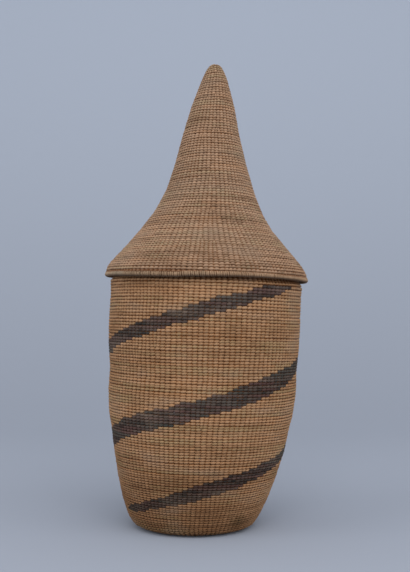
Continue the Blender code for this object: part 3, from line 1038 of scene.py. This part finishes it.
def fibre_material(name, colours):
    """Matt plant fibre. The strand's own map and marks drive the streaks and tones."""
    material, tree = new_material(name)
    fibre_inputs = {"Strand": tree.add("ShaderNodeUVMap", {"uv_map": "strand"}).outputs["UV"]}
    for mark in ("tone", "warmth", "depth"):
        fibre_inputs[mark.title()] = tree.add("ShaderNodeAttribute", {"attribute_name": mark}).outputs["Fac"]
    tints = {key.title(): linear(colour) for key, colour in colours.items()}
    fibre_inputs |= {key: tints[key] for key in ("Pale", "Deep", "Warm", "Cool", "Shade")}
    aged_and_shaded_inputs = {key: tints[key] for key in ("Grime", "Dust", "Stain")}
    groups = {group.name: group for group in bpy.data.node_groups}
    fibre = {"node_tree": groups.get("plant_fibre") or fibre_group()}
    fibre = tree.add("ShaderNodeGroup", fibre, **fibre_inputs).outputs
    aged_and_shaded = {"node_tree": groups.get("age_and_handling") or handling_group()}
    aged_and_shaded = tree.add("ShaderNodeGroup", aged_and_shaded, Color=fibre["Color"], Grime_Top=DARKENING_TOP, **aged_and_shaded_inputs).outputs
    relief = {"Strength": STREAK_RELIEF, "Distance": STREAK_DEPTH, "Height": fibre["Height"]}
    normal = tree.add("ShaderNodeBump", None, **relief).outputs["Normal"]
    tree.matt(aged_and_shaded["Color"], fibre["Roughness"], FIBRE_SHEEN, Normal=normal)
    return material


def length_property(name, description, default, least=LEAST_THICKNESS):
    return FloatProperty(name=name, description=description, default=default, min=least, unit="LENGTH")


def share_property(name, description, default, least=0.1, most=1.0):
    return FloatProperty(name=name, description=description, default=default, min=least, max=most)


def power_property(name, description, default):
    return FloatProperty(name=name, description=description, default=default, unit="POWER")


def colour_property(name, description, default):
    return FloatVectorProperty(
        name=name, description=description, default=default, size=3, min=0.0, max=1.0, subtype="COLOR_GAMMA"
    )


class WeaveSettings(PropertyGroup):
    """Sizes of the woven sheets."""

    weft_reach: length_property("Weft Reach", "How far the middle of a weft swings out and in", 0.76 * MM)
    weft_thickness: length_property("Weft Thickness", "Thickness of a weft through the sheet", 0.72 * MM)
    weft_width: share_property("Weft Width", "Height of a weft at a crossing, as a share of the row's", 0.52)
    weft_slant: share_property(
        "Weft Slant", "Climb of a weft from the middle of its row, as a share of the row", 0.13, 0.0, 0.5
    )
    weft_spread: share_property(
        "Weft Spread", "Share of its height that a weft gains from a crossing to the warp", 0.98, 0.0, 3.0
    )
    warp_thickness: length_property("Warp Thickness", "Thickness of a warp through the sheet", 0.78 * MM)
    warp_width: share_property("Warp Width", "Width of a warp, as a share of the space between two", 0.96)
    wrap_thickness: length_property("Wrap Thickness", "Thickness of the strand overcast on a rim", 0.6 * MM)
    wrap_width: share_property("Wrap Width", "Width of that strand, as a share of its room", 0.9, 0.1, 1.5)


class FinishSettings(PropertyGroup):
    """Colours of the fibres, as they look on screen."""

    natural: colour_property("Natural Weft", "Dry undyed weft of the basket", (0.683, 0.53, 0.395))
    natural_deep: colour_property("Natural Deep", "Darker fibres in it", (0.52, 0.38, 0.255))
    natural_warm: colour_property("Natural Warm", "Orange fibres in it", (0.66, 0.485, 0.335))
    natural_cool: colour_property("Natural Cool", "Olive-grey fibres in it", (0.585, 0.49, 0.35))
    natural_shade: colour_property("Natural Shade", "Its fibre inside the sheet", (0.42, 0.22, 0.03))
    lid: colour_property("Lid Weft", "Dry undyed weft of the lid", (0.688, 0.555, 0.448))
    lid_deep: colour_property("Lid Deep", "Darker fibres in it", (0.492, 0.384, 0.294))
    lid_warm: colour_property("Lid Warm", "Orange fibres in it", (0.662, 0.508, 0.385))
    lid_cool: colour_property("Lid Cool", "Olive fibres in it", (0.605, 0.52, 0.405))
    lid_shade: colour_property("Lid Shade", "Its fibre inside the sheet", (0.37, 0.20, 0.05))
    dyed: colour_property("Dyed Weft", "Dark dyed weft of the stripes", (0.39, 0.328, 0.295))
    dyed_deep: colour_property("Dyed Deep", "Darker fibres in it", (0.06, 0.05, 0.045))
    dyed_warm: colour_property("Dyed Warm", "Faded brown fibres in it", (0.36, 0.245, 0.225))
    dyed_cool: colour_property("Dyed Cool", "Green-grey fibres in it", (0.26, 0.27, 0.25))
    dyed_shade: colour_property("Dyed Shade", "Its fibre inside the sheet", (0.08, 0.07, 0.07))
    rim: colour_property("Rim Strand", "Strand overcast on the rims", (0.685, 0.575, 0.47))
    rim_deep: colour_property("Rim Deep", "Darker fibres in it", (0.50, 0.41, 0.32))
    rim_warm: colour_property("Rim Warm", "Orange fibres in it", (0.60, 0.47, 0.36))
    rim_cool: colour_property("Rim Cool", "Grey fibres in it", (0.56, 0.51, 0.44))
    # The rim's shade colour is painted shade under the coil
    rim_shade: colour_property("Rim Shade", "Dirt under the coil", (0.35, 0.27, 0.21))
    stick: colour_property("Sticks", "Warp sticks and rim cores", (0.46, 0.27, 0.10))
    stick_deep: colour_property("Sticks Deep", "Darker fibres in them", (0.32, 0.17, 0.05))
    dust: colour_property("Dust", "Grey film on worn patches", (0.56, 0.49, 0.42))
    # This tint darkens the wall towards the floor, partly as grime and partly as painted shade, and darkens
    # the worn patches
    grime: colour_property("Grime", "Tint of the dirt near the floor, which darkens", (0.76, 0.715, 0.65))
    stain: colour_property("Stain", "Tint of the damp mark", (0.62, 0.62, 0.52))


class StageSettings(PropertyGroup):
    """Floor, light and camera."""

    floor: colour_property("Floor", "Pale blue-grey paper of the floor", (0.632, 0.659, 0.714))
    # The backdrop colour is painted light: the same paper, drawn paler high behind the basket
    backdrop: colour_property("Backdrop", "Paler paper high behind the basket", (0.732, 0.768, 0.832))
    distance: length_property("Distance", "From the camera to the basket", 530.6 * MM, least=100 * MM)
    eye_height: length_property("Eye Height", "Height of the camera", 116.1 * MM, least=0.0)
    eye_shift: length_property("Eye Shift", "Camera's shift to +X", 6.3 * MM, least=-1.0)
    key_power: power_property("Key Power", "Power of the soft light overhead", 19.5)
    side_power: power_property("Side Power", "Power of each soft side light", 4.5)
    sky: share_property("Sky", "Strength of the even light all round", 0.62, 0.0, 10.0)


class BasketSettings(PropertyGroup):
    """All settings of the basket."""

    weave: PointerProperty(type=WeaveSettings)
    finish: PointerProperty(type=FinishSettings)
    stage: PointerProperty(type=StageSettings)


def colours_of(finish, base):
    """The colours of a fibre by its name, with the ones that all fibres share."""
    colours = {part: getattr(finish, f"{base}_{part}") for part in ("deep", "warm", "cool", "shade")}
    return colours | {"pale": getattr(finish, base)} | shared_colours(finish)


def stick_colours(finish):
    """The colours of the sticks: even ones, but dark behind the dyed wefts, where the warmth mark is 1, with
    painted shade in the dyed wefts' shade colour.
    """
    even = {"pale": finish.stick, "deep": finish.stick_deep, "cool": finish.stick, "shade": finish.stick_deep}
    return even | {"warm": finish.dyed_shade} | shared_colours(finish)


def shared_colours(finish):
    """The colours of age, handling and the painted shade near the floor, which all fibres share."""
    return {name: getattr(finish, name) for name in ("grime", "dust", "stain")}


def add_piece(name, mesh, material, body, nodes=()):
    """Adds a finished piece that rides on a body, wears a slot and stands for the nodes named."""
    mesh.materials.append(material)
    piece = link_object(name, mesh)
    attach(piece, body)
    if nodes:
        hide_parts(*nodes)
    return piece


class AGASEKE_OT_start_base(Operator):
    """Lays the crossed sticks in the middle of the base"""

    bl_idname = "agaseke.start_base"
    bl_label = "Start Base"

    def execute(self, context):
        settings = context.scene.agaseke
        material = fibre_material("stick_ends", stick_colours(settings.finish))
        wide = START_WIDTH * (1 + START_SPREAD * np.linspace(-1, 1, STICK_POINTS) ** 2)
        mesh = sticks_mesh("base_start_sticks", base_start_paths(), START_WIDTH, wide, SEED)
        add_piece("base_start_sticks", mesh, material, "basket", ["base_start"])
        return {"FINISHED"}


class AGASEKE_OT_set_warps(Operator):
    """Sets the upright warp sticks of the basket and the lid"""

    bl_idname = "agaseke.set_warps"
    bl_label = "Set Warps"

    def execute(self, context):
        look = context.scene.agaseke.weave
        material = bpy.data.materials["stick_ends"]
        mesh = warp_mesh("basket_warps", basket_weave(look), look, STRIPE_STARTS.values())
        add_piece("basket_warps", mesh, material, "basket")
        mesh = warp_mesh("lid_warps", lid_weave(look), look)
        add_piece("lid_warps", mesh, material, "lid")
        return {"FINISHED"}


class AGASEKE_OT_weave_basket(Operator):
    """Twines the undyed wefts of the base and wall and the dyed wefts of the two stripes"""

    bl_idname = "agaseke.weave_basket"
    bl_label = "Weave Basket"

    def execute(self, context):
        settings = context.scene.agaseke
        weave = basket_weave(settings.weave)
        strands = weft_strands(weave, settings.weave)
        natural = fibre_material("natural_weave", colours_of(settings.finish, "natural"))
        dyed = fibre_material("dyed_weave", colours_of(settings.finish, "dyed"))
        undyed = np.ones((2, strands["count"]), bool)
        for name, start in STRIPE_STARTS.items():
            chosen = np.stack([in_stripe(weave, weave.meets, weave.rows, start, strand) for strand in (0, 1)])
            undyed &= ~chosen
            mesh = weft_piece(name + "_weft", strands, chosen)
            add_piece(name + "_weft", mesh, dyed, "basket", [name])
        on_base = weave.sheet.height_at(weave.run_at(weave.meets)) < BASE_TOP
        mesh = weft_piece("base_weft", strands, undyed & on_base)
        add_piece("base_weft", mesh, natural, "basket", ["base_weave"])
        for number, band in enumerate(piece_bands(undyed & ~on_base), 1):
            name = f"wall_weft_{number}"
            mesh = weft_piece(name, strands, band)
            add_piece(name, mesh, natural, "basket", ["wall_weave"])
        return {"FINISHED"}


class AGASEKE_OT_weave_lid(Operator):
    """Twines the wefts of the lid and closes its tip with the warps bent over"""

    bl_idname = "agaseke.weave_lid"
    bl_label = "Weave Lid"

    def execute(self, context):
        settings = context.scene.agaseke
        weave = lid_weave(settings.weave)
        strands = weft_strands(weave, settings.weave)
        material = fibre_material("lid_weave", colours_of(settings.finish, "lid"))
        at_tip = np.tile(weave.sheet.height_at(weave.run_at(weave.meets)) > TIP_START_HEIGHT, (2, 1))
        mesh = weft_piece("lid_tip_weft", strands, at_tip)
        add_piece("lid_tip_weft", mesh, material, "lid", ["lid_tip_start"])
        mesh = sticks_mesh("lid_tip_sticks", tip_paths(LID_POSTURE), TIP_WIDTH, TIP_WIDTH, SEED)
        add_piece("lid_tip_sticks", mesh, material, "lid")
        for number, band in enumerate(piece_bands(~at_tip), 1):
            name = f"lid_weft_{number}"
            mesh = weft_piece(name, strands, band)
            add_piece(name, mesh, material, "lid", ["lid_weave"])
        return {"FINISHED"}


class AGASEKE_OT_bind_rims(Operator):
    """Lays the core of each rim and overcasts it with one long strand"""

    bl_idname = "agaseke.bind_rims"
    bl_label = "Bind Rims"

    def execute(self, context):
        settings = context.scene.agaseke
        sticks = bpy.data.materials["stick_ends"]
        strand = fibre_material("rim_binding", colours_of(settings.finish, "rim"))
        rims = (("mouth_rim", "basket", MOUTH_RIM, BASKET_POSTURE), ("lid_rim", "lid", LID_RIM, LID_POSTURE))
        for number, (prefix, body, rim, posture) in enumerate(rims):
            mesh = core_mesh(prefix + "_core_ring", rim, posture)
            add_piece(prefix + "_core_ring", mesh, sticks, body, [prefix + "_core"])
            mesh = binding_mesh(prefix + "_overcast", rim, posture, settings.weave, SEED + number)
            add_piece(prefix + "_overcast", mesh, strand, body, [prefix + "_binding"])
        return {"FINISHED"}


def paper_material(low, high):
    """Matt backdrop paper, whose colour turns from the floor's to the wall's with depth and height: painted
    light that makes the one paper paler higher up and further back.
    """
    material, tree = new_material("backdrop_paper")
    _, apart = tree.place()
    away = tree.math("ADD", apart["Y"], apart["Z"])
    colour = tree.mix(tree.scale_to(away, *SWEEP_PALER, 0.0, 1.0), linear(low), linear(high))
    tree.matt(colour, PAPER_ROUGHNESS, PAPER_SHEEN)
    return material


def sweep_mesh(name):
    """Mesh of a paper sweep: a level floor, a quarter circle and an upright wall, carried across."""
    bend = np.linspace(0.0, math.pi / 2, 13)
    depth = np.concatenate(([SWEEP_FRONT], SWEEP_BACK + SWEEP_BEND * np.sin(bend), [SWEEP_BACK + SWEEP_BEND]))
    height = np.concatenate(([0.0], SWEEP_BEND * (1 - np.cos(bend)), [SWEEP_TOP]))
    across = np.array((-SWEEP_HALF, SWEEP_HALF))
    x, y = np.broadcast_arrays(across[:, None], depth)
    points = np.stack((x, y, np.broadcast_to(height, x.shape)), axis=-1).reshape(-1, 3)
    count = len(depth)
    first = np.arange(count - 1)
    faces = np.stack((first, first + count, first + count + 1, first + 1), axis=1)
    mesh = bpy.data.meshes.new(name)
    mesh.from_pydata(points.tolist(), [], faces.tolist())
    mesh.shade_smooth()
    return mesh


def add_light(name, place, size, power):
    """Square soft light at a place, turned to face the basket."""
    light = bpy.data.lights.new(name, "AREA")
    light.shape = "SQUARE"
    light.size = size
    light.energy = power
    lamp = link_object(name, light)
    lamp.location = place
    lamp.rotation_euler = (Vector(LIGHT_AIM) - Vector(place)).to_track_quat("-Z", "Y").to_euler()


def add_camera(stage):
    """Camera at the photograph's place, tipped up until the horizon lies on its row."""
    data = bpy.data.cameras.new("camera")
    data.sensor_width = SENSOR
    data.lens = FOCAL_PIXELS / PHOTO_HIGH * SENSOR
    camera = link_object("camera", data)
    tip = math.atan((HORIZON_ROW - PHOTO_HIGH / 2) / FOCAL_PIXELS)
    camera.location = (stage.eye_shift, -stage.distance, stage.eye_height)
    camera.rotation_euler = (math.pi / 2 + tip, 0.0, 0.0)
    bpy.context.scene.camera = camera


class AGASEKE_OT_set_stage(Operator):
    """Sets the paper sweep, the soft lights, the sky and the camera"""

    bl_idname = "agaseke.set_stage"
    bl_label = "Set Stage"

    def execute(self, context):
        stage = context.scene.agaseke.stage
        mesh = sweep_mesh("backdrop_sweep")
        mesh.materials.append(paper_material(stage.floor, stage.backdrop))
        sweep = link_object("backdrop_sweep", mesh)
        for name, (place, size, power) in LIGHTS.items():
            add_light(name, place, size, getattr(stage, power))
        world = bpy.data.worlds.new("studio")
        world.use_nodes = True
        background = world.node_tree.nodes["Background"]
        background.inputs["Color"].default_value = SKY_COLOUR
        background.inputs["Strength"].default_value = stage.sky
        context.scene.world = world
        context.scene.view_settings.view_transform = "Standard"
        add_camera(stage)
        return {"FINISHED"}


class AGASEKE_PT_basket(Panel):
    """Lists the basket's steps and settings"""

    bl_label = "Agaseke Basket"
    bl_idname = "AGASEKE_PT_basket"
    bl_space_type = "VIEW_3D"
    bl_region_type = "UI"
    bl_category = "Basket"

    def draw(self, context):
        for operator in OPERATORS:
            self.layout.operator(operator.bl_idname)
        settings = context.scene.agaseke
        for group in (settings.weave, settings.finish, settings.stage):
            box = self.layout.box()
            for name in group.__annotations__:
                box.prop(group, name)


SETTINGS = (WeaveSettings, FinishSettings, StageSettings, BasketSettings)
OPERATORS = (
    AGASEKE_OT_start_base, AGASEKE_OT_set_warps, AGASEKE_OT_weave_basket, AGASEKE_OT_weave_lid,
    AGASEKE_OT_bind_rims, AGASEKE_OT_set_stage,
)


def register():
    for cls in (*SETTINGS, *OPERATORS, AGASEKE_PT_basket):
        bpy.utils.register_class(cls)
    bpy.types.Scene.agaseke = PointerProperty(type=BasketSettings)


def unregister():
    del bpy.types.Scene.agaseke
    for cls in reversed((*SETTINGS, *OPERATORS, AGASEKE_PT_basket)):
        bpy.utils.unregister_class(cls)


def main():
    """Registers the classes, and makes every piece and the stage."""
    register()
    bpy.ops.agaseke.start_base()
    bpy.ops.agaseke.set_warps()
    bpy.ops.agaseke.weave_basket()
    bpy.ops.agaseke.weave_lid()
    bpy.ops.agaseke.bind_rims()
    bpy.ops.agaseke.set_stage()


if __name__ == "__main__":
    main()
